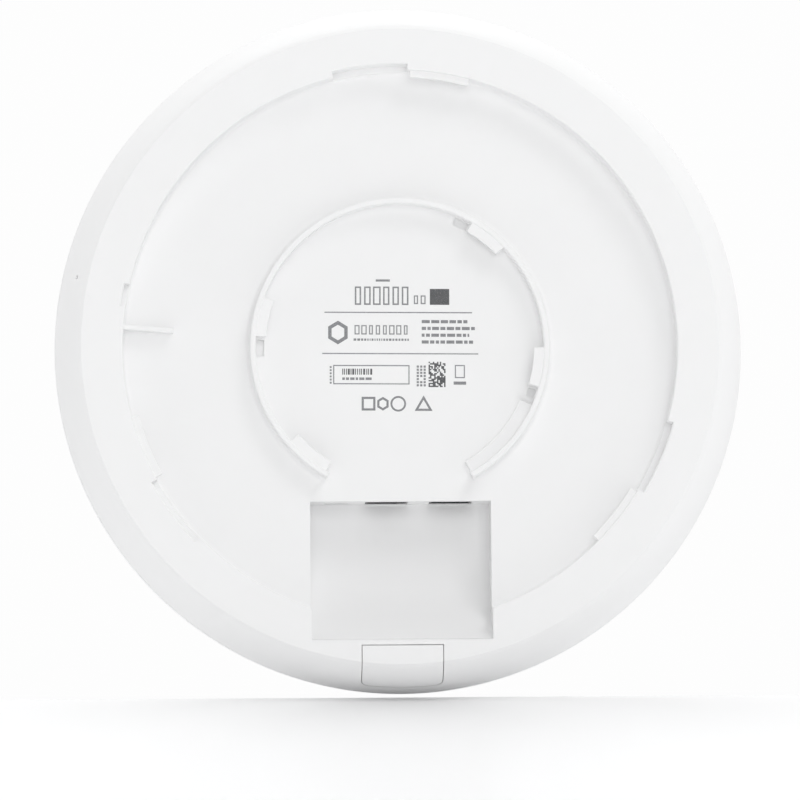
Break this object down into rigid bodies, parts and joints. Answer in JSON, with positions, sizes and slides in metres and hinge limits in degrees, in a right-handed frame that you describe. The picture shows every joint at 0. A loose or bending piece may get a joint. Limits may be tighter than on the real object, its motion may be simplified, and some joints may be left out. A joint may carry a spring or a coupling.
{
  "type": "ceiling access point",
  "caption": "Round white ceiling access point with a bayonet recess, a port bay with network jacks, a snap-in cable exit cover and a domed front with a light ring.",
  "frame": {"origin": "on the round case's axis, in the plane of the flat rear rim, where the bracket meets it", "axes": "-Y out of the rear face, +Y through the front dome, +Z from the cable exit to the top, +X to the right as seen from behind"},
  "size_m": [0.22, 0.048, 0.22],
  "materials": {
    "white_plastic": "fine matte mould texture, white",
    "dome_plastic": "smooth satin white, slightly translucent",
    "button_plastic": "satin mid grey",
    "black_plastic": "matte black moulding",
    "chip_resin": "matt moulded epoxy",
    "board_laminate": "satin solder mask over glass laminate",
    "led_board_laminate": "white satin solder mask",
    "tin_plate": "bright tinned sheet",
    "cast_aluminium": "satin die casting",
    "zinc_steel": "zinc-plated steel",
    "ferrite": "matt dark grey ferrite and tape",
    "capacitor_can": "satin aluminium can",
    "thermal_pad": "soft grey-blue silicone",
    "coax_jacket": "satin black jacket",
    "ribbon_film": "amber polyimide film",
    "light_guide": "clear frosted acrylic",
    "led_lens": "pale yellow phosphor resin"
  },
  "bodies": {
    "casing": {"antenna_1": "tin_plate", "antenna_2": "tin_plate", "antenna_3": "tin_plate", "antenna_4": "tin_plate", "antenna_lead_1": "coax_jacket", "antenna_lead_2": "coax_jacket", "antenna_lead_3": "coax_jacket", "antenna_lead_4": "coax_jacket", "board_screw_1": "zinc_steel", "board_screw_2": "zinc_steel", "board_screw_3": "zinc_steel", "board_screw_4": "zinc_steel", "capacitor_1": "capacitor_can", "capacitor_2": "capacitor_can", "ethernet_jack_left_insert": "black_plastic", "ethernet_jack_left_shell": "tin_plate", "ethernet_jack_right_insert": "black_plastic", "ethernet_jack_right_shell": "tin_plate", "ethernet_magnetics_left": "black_plastic", "ethernet_magnetics_right": "black_plastic", "flash_chip": "chip_resin", "front_dome": "dome_plastic", "ground_plate": "tin_plate", "heat_spreader": "cast_aluminium", "led_board": "led_board_laminate", "led_pedestal": "white_plastic", "led_ribbon": "ribbon_film", "light_ring": "light_guide", "main_board": "board_laminate", "memory_chip_1": "chip_resin", "memory_chip_2": "chip_resin", "plate_screw_1": "zinc_steel", "plate_screw_2": "zinc_steel", "plate_screw_3": "zinc_steel", "power_inductor": "ferrite", "power_transformer": "ferrite", "processor_chip": "chip_resin", "processor_shield": "tin_plate", "processor_thermal_pad": "thermal_pad", "radio_2ghz_chip": "chip_resin", "radio_2ghz_shield": "tin_plate", "radio_2ghz_thermal_pad": "thermal_pad", "radio_5ghz_chip": "chip_resin", "radio_5ghz_shield": "tin_plate", "radio_5ghz_thermal_pad": "thermal_pad", "rear_cover": "white_plastic", "reset_switch": "black_plastic", "status_led_1": "led_lens", "status_led_2": "led_lens", "status_led_3": "led_lens", "status_led_4": "led_lens"},
    "exit_cover": {"cable_cover": "white_plastic"},
    "reset_plunger": {"reset_button": "button_plastic"}
  },
  "joints": [
    {"name": "exit_cover_pull", "type": "slide", "parent": "casing", "child": "exit_cover", "axis": [0, -1, 0], "range_m": [0, 0.018]},
    {"name": "reset_press", "type": "slide", "parent": "casing", "child": "reset_plunger", "axis": [0, 0, 1], "range_m": [0, 0.0005], "stiffness_N_per_m": 3000}
  ]
}
